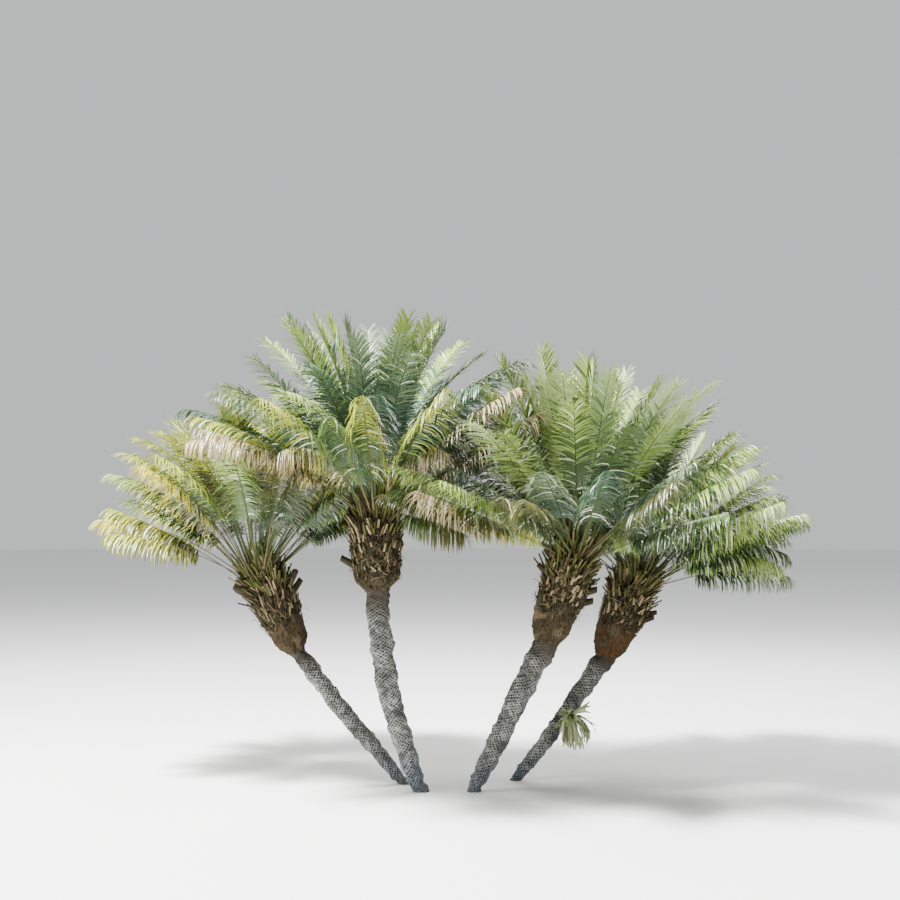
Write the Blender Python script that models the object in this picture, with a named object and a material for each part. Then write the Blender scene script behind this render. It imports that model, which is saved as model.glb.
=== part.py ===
"""A clump of four pygmy date palms, rooted in one place and leaning apart.

Each stem is a bare tapering trunk, cut flat at the ground, with a fat head of old leaf bases
on top of it and a crown of feather fronds round the head. The fronds stand in the spiral that
a palm grows them in, and those that follow one another in a spiral row share one strip of
leaf bases, so a row is one piece. The origin is the middle of the flat cut under the main
stem, +Z is up and -Y is the clump's front. Lengths are in metres and angles in degrees.
"""

import math
import random
from dataclasses import dataclass

import bmesh
import bpy
import numpy as np
from mathutils import Matrix, Vector
from mathutils.bvhtree import BVHTree


@dataclass(frozen=True)
class Stem:
    """One stem of the clump, by the sizes that its trunk, head and crown are worked out from."""

    name: str
    foot: tuple  # where its axis meets the ground
    neck: tuple  # where the bare trunk ends and the head of leaf bases starts
    crown: tuple  # the middle of the crown, on top of the head
    bow: tuple  # how far the middle of the trunk lies off the straight line
    foot_radius: float
    waist_radius: float
    neck_radius: float
    head_radius: float
    tilt: tuple  # the crown's axis leans this far along x and y for each metre up
    turn: float  # how far round the first frond stands
    spread: float  # how far from the crown's axis the oldest fronds aim
    frond_length: float
    arching: float  # how much its fronds bend down, against the usual
    taper: float  # how slim the head is low down, against its full radius


STEMS = (
    Stem(
        "outer_left", foot=(-0.09, 0.22, 0.0), neck=(-0.715, 0.35, 0.735), crown=(-0.91, 0.40, 1.14),
        bow=(-0.012, 0.01, 0.0), foot_radius=0.025, waist_radius=0.046, neck_radius=0.046,
        head_radius=0.130, tilt=(0.073, 0.089), turn=334.0, spread=50.5,
        frond_length=1.05, arching=0.89, taper=0.62,
    ),
    Stem(
        "main", foot=(0.0, 0.0, 0.0), neck=(-0.235, -0.10, 1.11), crown=(-0.246, -0.12, 1.50),
        bow=(-0.05, 0.0, 0.0), foot_radius=0.038, waist_radius=0.058, neck_radius=0.064,
        head_radius=0.142, tilt=(-0.025, -0.03), turn=178.0, spread=58.5,
        frond_length=1.14, arching=0.75, taper=0.86,
    ),
    Stem(
        "inner_right", foot=(0.285, 0.0, 0.0), neck=(0.688, -0.08, 0.829), crown=(0.822, -0.12, 1.262),
        bow=(0.0, 0.0, 0.0), foot_radius=0.034, waist_radius=0.056, neck_radius=0.067,
        head_radius=0.136, tilt=(-0.095, -0.107), turn=351.5, spread=71.0,
        frond_length=1.05, arching=0.32, taper=0.66,
    ),
    Stem(
        "outer_right", foot=(0.53, 0.34, 0.0), neck=(1.060, 0.42, 0.70), crown=(1.228, 0.45, 1.101),
        bow=(0.012, 0.0, 0.0), foot_radius=0.028, waist_radius=0.043, neck_radius=0.058,
        head_radius=0.136, tilt=(0.131, 0.149), turn=215.5, spread=59.0,
        frond_length=0.97, arching=0.77, taper=0.60,
    ),
)

GAP = 0.0004  # between pieces that meet
SHORTEST_EDGE = 0.00003

# Trunks
TRUNK_SIDES = 12
TRUNK_RINGS = 11
BELOW_GROUND = 0.08  # the trunk is drawn this far down before it is cut flat

# Heads of old leaf bases
HEAD_SIDES = 12
CROWN_RADIUS = 0.100  # the rounded top of a head, which the living fronds stand round
STUB_LENGTH = 0.055
STUB_RISE = 0.75  # how much a cut leaf base points up for each unit that it points out

# Fronds
FRONDS = 20  # on each crown
SPIRAL_STEP = 137.508  # from one frond to the next, round the crown
SPIRAL_ROWS = 8  # the frond that comes this many later stands nearly below the first
SEAT_RADIUS = 0.118  # from the middle of the crown to a frond's foot
STRIP_RADIUS = 0.014
STRIP_BEND_RADIUS = 0.121
STRIP_END = 8.0  # a strip of leaf bases runs this far past its last frond
YOUNGEST_SEAT, OLDEST_SEAT = 15.0, 84.0  # from the crown's axis
YOUNGEST_AIM = 6.0
LEAST_BEND, MOST_BEND = 22.0, 54.0  # how far a frond turns down on its way out
BEND_ONSET = 1.6  # the higher, the nearer its tip a frond bends
AIM_CHANCE, BEND_CHANCE = 4.0, 7.0  # fronds differ by this much either way
YOUNG_LENGTH = 0.86  # of the full length
BARE_SHARE = 0.27  # of a frond's length, below its first leaflets
LEAF_PAIRS = 12
STALK_WIDTH = 0.0085
TIP_WIDTH = 0.0018
LEAFLET_LENGTH = 0.205
FIRST_SPLAY, LAST_SPLAY = 72.0, 34.0  # between a leaflet and the rib, at its foot and its tip
YOUNG_DROOP, OLD_DROOP = 0.05, 0.75  # how much its leaflets hang
YOUNG_LIFT = 0.35  # how much they stand up off the rib in a V
RIB_STEPS = 48

# Room between fronds
RIB_ROOM = 0.030
STEM_ROOM = 0.035
CROWDED = 0.17  # fronds of one crown may come closer than RIB_ROOM up to here
LEAFLET_ROOM = 0.0025
MOST_SWING = 36
SHORTER = (1.0, 0.8, 0.62, 0.45, 0.0)  # what a leaflet may be cut back to

# The tuft of strap leaves that grows on the outer right stem
TUFT_SHARE = 0.52  # of the way up the trunk
TUFT_FACING = (0.5, -1.0, -0.25)
TUFT_ROOM = 0.001
TUFT_CORE = 0.028
TUFT_STRAPS = 13
TUFT_FAN = 140.0  # the outermost straps stand this far round from the one that hangs straight down
LONGEST_STRAP, SHORTEST_STRAP = 0.20, 0.13
STRAP_WIDTH = 0.008
STRAP_THICKNESS = 0.003


def blend(first, second, share):
    """The value that far between two others."""
    return first + (second - first) * share


# ------------------------------------------------------------------ trunk lines and limbs


def trunk_line(stem, share):
    """The point on a trunk's axis that far from the ground to the neck."""
    straight = Vector(stem.foot).lerp(Vector(stem.neck), share)
    return straight + Vector(stem.bow) * 4 * share * (1 - share)


def trunk_radius(stem, share):
    """A trunk is slimmest at the ground, and has its waist girth from about half-way up."""
    if share < 0.5:
        return blend(stem.foot_radius, stem.waist_radius, math.sin(math.pi * max(share, 0)))
    return blend(stem.waist_radius, stem.neck_radius, 2 * share - 1)


def station(middle, direction, width, depth, side=None):
    """Places a unit ring: across its direction, with its x axis along side."""
    z_axis = direction.normalized()
    x_axis = (side or Vector((1, 0, 0))).copy()
    x_axis = (x_axis - z_axis * x_axis.dot(z_axis)).normalized()
    turned = Matrix((x_axis, z_axis.cross(x_axis), z_axis)).transposed().to_4x4()
    return Matrix.Translation(middle) @ turned @ Matrix.Diagonal((width, depth, 1, 1))


def start_limb(mesh, first, sides, turn=0.0):
    """Draws a limb's two end faces, one on the other, and returns the one that grows on."""
    spun = first @ Matrix.Rotation(turn, 4, "Z")
    ring = bmesh.ops.create_circle(mesh, cap_ends=True, radius=1, segments=sides, matrix=spun)
    foot = ring["verts"][0].link_faces[0]
    grown = bmesh.ops.extrude_face_region(mesh, geom=[foot])["geom"]
    return next(item for item in grown if isinstance(item, bmesh.types.BMFace))


def grow_limb(mesh, face, before, after, first=False):
    """Takes a limb's end face on to the next station. Returns the new end and the sides."""
    end = face if first else bmesh.ops.extrude_discrete_faces(mesh, faces=[face])["faces"][0]
    bmesh.ops.transform(mesh, matrix=after @ before.inverted(), verts=end.verts)
    walls = [wall for edge in end.edges for wall in edge.link_faces if wall != end]
    return end, walls


def limb(mesh, stations, sides, turn=0.0):
    """A closed limb through the stations."""
    face = start_limb(mesh, stations[0], sides, turn)
    for number, (before, after) in enumerate(zip(stations, stations[1:])):
        face, _ = grow_limb(mesh, face, before, after, number == 0)


def finished(mesh, name):
    """Turns a bmesh into an object with its faces pointing out."""
    bmesh.ops.recalc_face_normals(mesh, faces=mesh.faces)
    if mesh.calc_volume(signed=True) < 0:
        bmesh.ops.reverse_faces(mesh, faces=mesh.faces)
    data = bpy.data.meshes.new(name)
    mesh.to_mesh(data)
    mesh.free()
    piece = bpy.data.objects.new(name, data)
    bpy.context.scene.collection.objects.link(piece)
    return piece


def material(name, colour, roughness):
    """A plain material."""
    made = bpy.data.materials.new(name)
    made.use_nodes = True
    shader = made.node_tree.nodes["Principled BSDF"]
    shader.inputs["Base Color"].default_value = (*colour, 1)
    shader.inputs["Roughness"].default_value = roughness
    shader.inputs["Metallic"].default_value = 0
    return made


# ------------------------------------------------------------------------------- trunks


def trunk(stem):
    """A bare trunk, cut flat at the ground and square to the head at its neck."""
    mesh = bmesh.new()
    head_way = (Vector(stem.crown) - Vector(stem.neck)).normalized()
    first_step = trunk_line(stem, 0.02) - trunk_line(stem, 0)
    below = trunk_line(stem, 0) - first_step.normalized() * BELOW_GROUND
    stations = [station(below, first_step, stem.foot_radius, stem.foot_radius)]
    for number in range(TRUNK_RINGS):
        share = number / (TRUNK_RINGS - 1)
        way = trunk_line(stem, share + 0.02) - trunk_line(stem, share - 0.02)
        if number == TRUNK_RINGS - 1:
            way = head_way
        radius = trunk_radius(stem, share)
        stations.append(station(trunk_line(stem, share), way, radius, radius))
    limb(mesh, stations, TRUNK_SIDES)
    everything = mesh.verts[:] + mesh.edges[:] + mesh.faces[:]
    cut = bmesh.ops.bisect_plane(
        mesh, geom=everything, dist=1e-5, plane_co=(0, 0, 0), plane_no=(0, 0, 1), clear_inner=True
    )
    rim = [item for item in cut["geom_cut"] if isinstance(item, bmesh.types.BMEdge)]
    bmesh.ops.contextual_create(mesh, geom=rim)
    return finished(mesh, f"trunk_{stem.name}")


# -------------------------------------------------------------------------------- heads


def head_profile(stem):
    """(distance up from the neck, radius) of each ring of a head, then of its rounded top."""
    length = (Vector(stem.crown) - Vector(stem.neck)).length
    full = stem.head_radius
    rings = [
        (GAP, stem.neck_radius * 1.15),
        (0.12 * length, blend(stem.taper, 1.0, 0.15) * full),
        (0.28 * length, blend(stem.taper, 1.0, 0.50) * full),
        (0.44 * length, blend(stem.taper, 1.0, 0.80) * full),
        (0.60 * length, full),
        (0.75 * length, full),
        (0.87 * length, 0.88 * full),
    ]
    for polar in (85.0, 50.0, 20.0):
        rise = CROWN_RADIUS * math.cos(math.radians(polar))
        rings.append((length + rise, CROWN_RADIUS * math.sin(math.radians(polar))))
    return rings


def head(stem):
    """The head: each ring is turned half a step on the last, and leaf bases stand out of it."""
    mesh = bmesh.new()
    neck = Vector(stem.neck)
    way = (Vector(stem.crown) - neck).normalized()
    half_step = math.pi / HEAD_SIDES
    rings = head_profile(stem)
    stations = [
        station(neck + way * up, way, radius, radius) @ Matrix.Rotation(half_step * number, 4, "Z")
        for number, (up, radius) in enumerate(rings)
    ]
    face = start_limb(mesh, stations[0], HEAD_SIDES)
    bands = []
    for number, (before, after) in enumerate(zip(stations, stations[1:])):
        face, walls = grow_limb(mesh, face, before, after, number == 0)
        bands.append(walls)
    bmesh.ops.recalc_face_normals(mesh, faces=mesh.faces)
    chosen = []
    for number, walls in enumerate(bands[2:6]):
        chosen += [wall for place, wall in enumerate(walls) if (place + number) % 2 == 0]
    grow_stubs(mesh, chosen, neck, way, stem.name)
    return finished(mesh, f"head_{stem.name}")


def grow_stubs(mesh, walls, neck, way, seed):
    """Draws a cut leaf base, out and up, from each of the walls."""
    chance = random.Random(f"stubs {seed}")
    for wall in walls:
        middle = wall.calc_center_median()
        out = middle - neck
        out = (out - way * out.dot(way)).normalized()
        reach = STUB_LENGTH * chance.uniform(0.55, 1.25)
        grown = bmesh.ops.extrude_discrete_faces(mesh, faces=[wall])["faces"][0]
        push = (out + way * STUB_RISE).normalized() * reach
        shrink = Matrix.Diagonal((0.45, 0.45, 0.45, 1))
        about = Matrix.Translation(middle + push) @ shrink @ Matrix.Translation(-middle)
        bmesh.ops.transform(mesh, matrix=about, verts=grown.verts)


# --------------------------------------------------------------------- where fronds stand


def way_from(axis, polar, turn):
    """The direction that many degrees from an axis, and that far round it."""
    angle = math.radians(polar)
    local = (math.sin(angle) * math.cos(turn), math.sin(angle) * math.sin(turn), math.cos(angle))
    return Vector((0, 0, 1)).rotation_difference(axis) @ Vector(local)


class Frond:
    """One frond of a crown: where it stands, how its rib runs and how long its leaflets are.

    Number 0 is the youngest, which stands nearly upright in the middle of the crown.
    """

    def __init__(self, stem, number):
        chance = random.Random(f"frond {stem.name} {number}")
        self.stem = stem
        self.age = (number + 0.5) / FRONDS
        self.turn = math.radians(stem.turn + number * SPIRAL_STEP)
        self.aim = blend(YOUNGEST_AIM, stem.spread, self.age**0.75)
        self.aim += chance.uniform(-AIM_CHANCE, AIM_CHANCE)
        self.bend = blend(LEAST_BEND, MOST_BEND, math.sin(math.pi * self.age))
        self.bend += chance.uniform(-BEND_CHANCE, BEND_CHANCE)
        self.bend *= stem.arching
        self.length = stem.frond_length * blend(YOUNG_LENGTH, 1.0, min(1.0, 4 * self.age))
        self.length *= chance.uniform(0.94, 1.05)
        self.nudge = 0.0
        self.cut = {}  # (side, pair): how far a leaflet is cut back, as a place in SHORTER

    def seat(self, past=0.0):
        """Where the frond stands, round the top of the head."""
        polar = blend(YOUNGEST_SEAT, OLDEST_SEAT, self.age) + past
        axis = Vector(self.stem.crown) - Vector(self.stem.neck)
        return Vector(self.stem.crown) + way_from(axis, polar, self.turn) * SEAT_RADIUS

    def rib(self):
        """The rib's points and directions, from its foot to its tip. It bends down as it goes out."""
        axis = Vector((*self.stem.tilt, 1))
        first = way_from(axis, self.aim, self.turn + math.radians(self.nudge))
        heading = math.atan2(first.y, first.x)
        lean = math.acos(max(-1.0, min(1.0, first.z)))
        step = self.length / RIB_STEPS
        point = self.seat()
        points, ways = [], []
        for number in range(RIB_STEPS + 1):
            angle = lean + math.radians(self.bend) * (number / RIB_STEPS) ** BEND_ONSET
            across = math.sin(angle)
            way = Vector((across * math.cos(heading), across * math.sin(heading), math.cos(angle)))
            points.append(point)
            ways.append(way)
            point = point + way * step
        return points, ways


def stem_points():
    """Points down the middle of every trunk and head, each with the stem's radius there."""
    points, radii = [], []
    for stem in STEMS:
        for number in range(25):
            share = number / 24
            points.append(trunk_line(stem, share))
            radii.append(trunk_radius(stem, share))
            points.append(Vector(stem.neck).lerp(Vector(stem.crown), share))
            radii.append(stem.head_radius + STUB_LENGTH)
    return np.array(points), np.array(radii)


def spread_fronds():
    """Every frond, each swung a few degrees aside where its rib would meet another or a stem."""
    centres, radii = stem_points()
    swings = [0] + [side * swing for swing in range(4, MOST_SWING + 1, 4) for side in (1, -1)]
    placed = np.empty((0, 3))
    fronds = []
    for number in range(FRONDS):
        for stem in STEMS:
            frond = Frond(stem, number)
            best = None
            for swing in swings:
                frond.nudge = swing
                own = np.array(frond.rib()[0])
                from_crown = np.linalg.norm(own - np.array(stem.crown), axis=1)
                far = own[from_crown > CROWDED + SEAT_RADIUS]
                from_stems = np.linalg.norm(far[:, None] - centres[None], axis=2) - radii
                spare = from_stems.min() - STEM_ROOM
                if len(placed):
                    from_ribs = np.linalg.norm(far[:, None] - placed[None], axis=2)
                    spare = min(spare, from_ribs.min() - RIB_ROOM)
                if best is None or spare > best[0]:
                    best = (spare, swing, own)
                if spare > 0:
                    break
            frond.nudge = best[1]
            placed = np.concatenate([placed, best[2]])
            fronds.append(frond)
    return fronds


# -------------------------------------------------------------------- a frond as a solid


def leaflet_tip(frond, pair, side, root, way, across, extra):
    """Where the leaflet of that pair ends: forward and out from the rib, and down on old fronds."""
    share = (pair + 0.5) / LEAF_PAIRS
    reach = LEAFLET_LENGTH * math.sqrt(4 * (0.12 + 0.8 * share) * (0.88 - 0.8 * share))
    reach *= SHORTER[frond.cut.get((side, pair), 0)]
    splay = math.radians(blend(FIRST_SPLAY, LAST_SPLAY, share))
    rise = way.cross(across) if way.cross(across).z > 0 else across.cross(way)
    droop = blend(YOUNG_DROOP, OLD_DROOP, frond.age)
    out = way * math.cos(splay) + across * side * math.sin(splay)
    out += rise * blend(YOUNG_LIFT, 0.0, frond.age) - Vector((0, 0, droop))
    return root + out.normalized() * (reach + extra)


def frond_mesh(frond, room=0.0, bare=False):
    """A frond's blade as one closed shape. Its rib is three-sided, and each leaflet is drawn out
    of one side of it. The face layer says whose a face is. With room, it is fatter all over."""
    mesh = bmesh.new()
    layer = mesh.faces.layers.int.new("leaflet")
    points, ways = frond.rib()
    across = Vector((ways[-1].y, -ways[-1].x, 0)).normalized()
    shares = [0.0, 0.5 * BARE_SHARE]
    shares += [blend(BARE_SHARE, 0.97, pair / LEAF_PAIRS) for pair in range(LEAF_PAIRS + 1)]
    stations = []
    for share in shares:
        place = round(share * RIB_STEPS)
        width = blend(STALK_WIDTH, TIP_WIDTH, share) + room
        stations.append(station(points[place], ways[place], width, width, across))
    face = start_limb(mesh, stations[0], 3)
    for number, (before, after) in enumerate(zip(stations, stations[1:])):
        face, walls = grow_limb(mesh, face, before, after, number == 0)
        pair = number - 2
        if pair < 0 or bare:
            continue
        middle = (before.translation + after.translation) / 2
        way = (after.translation - before.translation).normalized()
        for wall in walls:
            root = wall.calc_center_median()
            lean = (root - middle).dot(across)
            side = 1 if lean > 0 else -1
            on_side = abs(lean) > 0.3 * (root - middle).length
            if not on_side or SHORTER[frond.cut.get((side, pair), 0)] == 0:
                continue
            tip = leaflet_tip(frond, pair, side, root, way, across, 2 * room)
            poked = bmesh.ops.poke(mesh, faces=[wall])
            poked["verts"][0].co = tip
            for part in poked["faces"]:
                part[layer] = side * (pair + 1)
    end = bmesh.ops.poke(mesh, faces=[face])["verts"][0]
    end.co = points[-1]
    return mesh


def shape_of(mesh):
    """A bmesh as a tree to test for contact, with the leaflet that each of its triangles is of."""
    bmesh.ops.triangulate(mesh, faces=mesh.faces)
    layer = mesh.faces.layers.int.get("leaflet")
    mesh.verts.index_update()
    corners = [vert.co.copy() for vert in mesh.verts]
    faces = [[vert.index for vert in face.verts] for face in mesh.faces]
    owners = [face[layer] if layer else 0 for face in mesh.faces]
    mesh.free()
    return BVHTree.FromPolygons(corners, faces), owners


def cut_back_leaflets(fronds, obstacles):
    """Cuts back or leaves out each leaflet that would touch a rib, a stem or another leaflet."""
    ribs = [shape_of(frond_mesh(frond, bare=True))[0] for frond in fronds]
    grown = []
    for place, frond in enumerate(fronds):
        others = ribs[:place] + ribs[place + 1 :] + obstacles + grown
        while True:
            struck = set()
            for room in (LEAFLET_ROOM, 0.0):
                tree, owners = shape_of(frond_mesh(frond, room))
                struck |= {owners[face] for other in others for face, _ in tree.overlap(other)}
            struck.discard(0)
            if not struck:
                break
            for owner in struck:
                key = (1 if owner > 0 else -1, abs(owner) - 1)
                frond.cut[key] = min(frond.cut.get(key, 0) + 1, len(SHORTER) - 1)
        grown.append(shape_of(frond_mesh(frond))[0])


# ---------------------------------------------------------------------- rows of fronds


def strip_mesh(row):
    """The strip of leaf bases that a row of fronds stands on, bent round the top of the head.
    Each frond stands on the middle of one of its straight lengths."""
    mesh = bmesh.new()
    crown = Vector(row[0].stem.crown)
    spots = [row[0].seat(-STRIP_END)]
    spots += [(first.seat() + second.seat()) / 2 for first, second in zip(row, row[1:])]
    spots.append(row[-1].seat(STRIP_END))
    spots = [crown + (spot - crown).normalized() * STRIP_BEND_RADIUS for spot in spots]
    stations = []
    for number, spot in enumerate(spots):
        ahead = spots[min(number + 1, len(spots) - 1)] - spots[max(number - 1, 0)]
        stations.append(station(spot, ahead, STRIP_RADIUS, STRIP_RADIUS, spot - crown))
    limb(mesh, stations, 4, math.pi / 4)
    return mesh


def keep_outer_shell(data):
    """Drops every shell but the largest, so a hollow that fusing sealed is filled. Edges too
    short to matter go too."""
    mesh = bmesh.new()
    mesh.from_mesh(data)
    bmesh.ops.dissolve_degenerate(mesh, dist=SHORTEST_EDGE, edges=mesh.edges)
    unseen = set(mesh.faces)
    shells = []
    while unseen:
        shell, edge_of_shell = set(), [unseen.pop()]
        while edge_of_shell:
            face = edge_of_shell.pop()
            shell.add(face)
            near = {other for edge in face.edges for other in edge.link_faces} & unseen
            unseen -= near
            edge_of_shell += near
        shells.append(shell)
    shells.sort(key=lambda shell: sum(face.calc_area() for face in shell))
    scraps = [face for shell in shells[:-1] for face in shell]
    bmesh.ops.delete(mesh, geom=scraps, context="FACES")
    mesh.to_mesh(data)
    mesh.free()


def fused(name, meshes):
    """Joins closed shapes into one solid."""
    group = bpy.data.collections.new(name)
    first, *rest = [finished(mesh, f"{name}_piece") for mesh in meshes]
    for piece in rest:
        bpy.context.scene.collection.objects.unlink(piece)
        group.objects.link(piece)
    union = first.modifiers.new("union", "BOOLEAN")
    union.operation = "UNION"
    union.solver = "MANIFOLD"  # the exact one leaves open edges where the thin stalks cross
    union.operand_type = "COLLECTION"
    union.collection = group
    graph = bpy.context.evaluated_depsgraph_get()
    joined = bpy.data.meshes.new_from_object(first.evaluated_get(graph))
    for piece in [first, *rest]:
        bpy.data.objects.remove(piece)
    bpy.data.collections.remove(group)
    keep_outer_shell(joined)
    made = bpy.data.objects.new(name, joined)
    bpy.context.scene.collection.objects.link(made)
    return made


def tuft(stem):
    """A tuft of strap leaves, fused to a small core that sits against a trunk. The straps fan out
    round the way that faces off the trunk, and the longest of them hang straight down."""
    foot = trunk_line(stem, TUFT_SHARE)
    out = Vector(TUFT_FACING).normalized()
    middle = foot + out * (trunk_radius(stem, TUFT_SHARE) + TUFT_CORE + TUFT_ROOM)
    core = bmesh.new()
    placed = Matrix.Translation(middle)
    bmesh.ops.create_icosphere(core, subdivisions=1, radius=TUFT_CORE, matrix=placed)
    meshes = [core]
    chance = random.Random("tuft")
    for number in range(TUFT_STRAPS):
        share = abs(2 * (number + 0.5) / TUFT_STRAPS - 1)
        swing = TUFT_FAN * (2 * (number + 0.5) / TUFT_STRAPS - 1) + chance.uniform(-8, 8)
        way = Matrix.Rotation(math.radians(swing), 3, out) @ Vector((0, 0, -1))
        way = (way + out * chance.uniform(0.2, 0.7)).normalized()
        flat = way.cross(out).normalized()
        length = blend(LONGEST_STRAP, SHORTEST_STRAP, share) * chance.uniform(0.85, 1.05)
        point = middle + way * TUFT_CORE * 0.3
        stations = []
        for width in (0.6, 1.0, 1.2, 0.9):
            stations.append(station(point, way, STRAP_WIDTH * width, STRAP_THICKNESS, flat))
            way = (way + Vector((0, 0, -0.3)) * share).normalized()
            point = point + way * length / 3
        strap = bmesh.new()
        limb(strap, stations, 4)
        meshes.append(strap)
    return fused(f"tuft_{stem.name}", meshes)


def crowns():
    """Every row of fronds on every crown, each as one solid."""
    graph = bpy.context.evaluated_depsgraph_get()
    trees = [BVHTree.FromObject(piece, graph) for piece in bpy.data.objects]
    fronds = spread_fronds()
    rows = {}
    for place, frond in enumerate(fronds):
        number = place // len(STEMS)
        rows.setdefault((frond.stem, number % SPIRAL_ROWS), []).append(frond)
    trees += [shape_of(strip_mesh(row))[0] for row in rows.values()]
    cut_back_leaflets(fronds, trees)
    made = []
    for (stem, row_number), row in rows.items():
        meshes = [strip_mesh(row)] + [frond_mesh(frond) for frond in row]
        made.append((stem, fused(f"fronds_{stem.name}_{row_number + 1}", meshes)))
    return made


def main():
    for old in list(bpy.data.objects):
        bpy.data.objects.remove(old)
    bark = material("bark", (0.32, 0.30, 0.27), 0.9)
    boots = material("old_leaf_bases", (0.25, 0.18, 0.11), 0.95)
    greens = {
        "outer_left": material("fronds_golden", (0.42, 0.45, 0.12), 0.5),
        "main": material("fronds_blue_green", (0.18, 0.30, 0.17), 0.5),
        "inner_right": material("fronds_green", (0.20, 0.36, 0.10), 0.5),
        "outer_right": material("fronds_deep_green", (0.16, 0.32, 0.08), 0.5),
    }
    for stem in STEMS:
        trunk(stem).data.materials.append(bark)
        head(stem).data.materials.append(boots)
    leafy = tuft(STEMS[-1])
    leafy.data.materials.clear()
    leafy.data.materials.append(material("strap_leaves", (0.50, 0.55, 0.28), 0.55))
    for stem, row in crowns():
        row.data.materials.clear()
        row.data.materials.append(greens[stem.name])


main()
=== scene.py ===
"""The looks of a clump of four pygmy date palms, laid out as an add-on and run as a script.

The trunks get bark in a net of leaf scars, the heads their old leaf bases and fibres, and the
crowns their feather fronds. The fronds grow by the rule that the solids follow, carried to more
fronds and to every leaflet. Lengths are in metres and angles in degrees.
"""

import random
from dataclasses import dataclass
from math import acos, atan2, cos, pi, radians, sin, sqrt

import bmesh
import bpy
import numpy as np
from bpy.props import FloatProperty, FloatVectorProperty, IntProperty, PointerProperty
from mathutils import Matrix, Vector, noise


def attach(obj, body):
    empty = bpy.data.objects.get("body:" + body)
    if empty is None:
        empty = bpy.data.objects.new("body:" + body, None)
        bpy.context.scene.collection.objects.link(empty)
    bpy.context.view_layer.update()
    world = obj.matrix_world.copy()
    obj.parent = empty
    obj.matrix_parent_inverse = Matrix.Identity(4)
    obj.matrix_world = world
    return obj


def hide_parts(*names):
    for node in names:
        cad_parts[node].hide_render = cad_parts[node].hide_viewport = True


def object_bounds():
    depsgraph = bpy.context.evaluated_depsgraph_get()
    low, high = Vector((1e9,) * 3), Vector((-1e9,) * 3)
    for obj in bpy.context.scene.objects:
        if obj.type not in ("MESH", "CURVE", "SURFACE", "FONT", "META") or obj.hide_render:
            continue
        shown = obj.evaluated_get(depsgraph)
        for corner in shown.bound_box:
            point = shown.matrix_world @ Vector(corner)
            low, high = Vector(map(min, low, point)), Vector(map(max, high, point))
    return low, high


bl_info = {
    "name": "Pygmy date palm looks",
    "version": (1, 0, 0),
    "blender": (4, 5, 0),
    "location": "3D View > Sidebar > Palm",
    "description": "Dresses a clump of pygmy date palms in bark, leaf bases and feather fronds",
    "category": "Object",
}

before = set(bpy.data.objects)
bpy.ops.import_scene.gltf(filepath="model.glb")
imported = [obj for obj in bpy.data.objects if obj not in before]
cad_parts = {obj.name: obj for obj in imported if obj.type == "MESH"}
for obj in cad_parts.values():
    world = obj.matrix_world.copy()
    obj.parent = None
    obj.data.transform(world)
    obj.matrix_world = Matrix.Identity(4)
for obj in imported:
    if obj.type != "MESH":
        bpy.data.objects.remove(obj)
CAD_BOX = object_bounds()


# ---------- the plant's own sizes


@dataclass(frozen=True)
class Stem:
    """One stem of the clump, by the sizes that the solids are worked out from."""

    name: str
    foot: tuple
    neck: tuple  # where the trunk ends and the head begins
    crown: tuple  # the middle of the head's rounded top
    bow: tuple  # how far the trunk's middle stands off the straight line
    foot_radius: float
    waist_radius: float
    neck_radius: float
    head_radius: float
    tilt: tuple  # of the whole crown, off the upright
    turn: float
    spread: float  # how far the oldest fronds lean out
    frond_length: float
    arching: float  # how far fronds bend, against the usual bend
    taper: float  # the head's radius low down against its full radius


STEMS = (
    Stem(
        "outer_left", foot=(-0.09, 0.22, 0), neck=(-0.715, 0.35, 0.735), crown=(-0.91, 0.40, 1.14),
        bow=(-0.012, 0.01, 0), foot_radius=0.025, waist_radius=0.046, neck_radius=0.046,
        head_radius=0.130, tilt=(0.073, 0.089), turn=334.0, spread=50.5, frond_length=1.05,
        arching=0.89, taper=0.62,
    ),
    Stem(
        "main", foot=(0, 0, 0), neck=(-0.235, -0.10, 1.11), crown=(-0.246, -0.12, 1.50),
        bow=(-0.05, 0, 0), foot_radius=0.038, waist_radius=0.058, neck_radius=0.064,
        head_radius=0.142, tilt=(-0.025, -0.03), turn=178.0, spread=58.5, frond_length=1.14,
        arching=0.75, taper=0.86,
    ),
    Stem(
        "inner_right", foot=(0.285, 0, 0), neck=(0.688, -0.08, 0.829), crown=(0.822, -0.12, 1.262),
        bow=(0, 0, 0), foot_radius=0.034, waist_radius=0.056, neck_radius=0.067,
        head_radius=0.136, tilt=(-0.095, -0.107), turn=351.5, spread=71.0, frond_length=1.05,
        arching=0.32, taper=0.66,
    ),
    Stem(
        "outer_right", foot=(0.53, 0.34, 0), neck=(1.060, 0.42, 0.70), crown=(1.228, 0.45, 1.101),
        bow=(0.012, 0, 0), foot_radius=0.028, waist_radius=0.043, neck_radius=0.058,
        head_radius=0.136, tilt=(0.131, 0.149), turn=215.5, spread=59.0, frond_length=0.97,
        arching=0.77, taper=0.60,
    ),
)


@dataclass(frozen=True)
class HeadLook:
    """What sets one head apart from the others."""

    name: str
    collar: float  # how far up the head its smooth collar reaches
    rust: float
    tan: float
    scale: float  # the lowest leaf bases against the usual length
    width: float
    stubs: tuple  # for each stout cut stub, which way it points and how far up it stands


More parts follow.
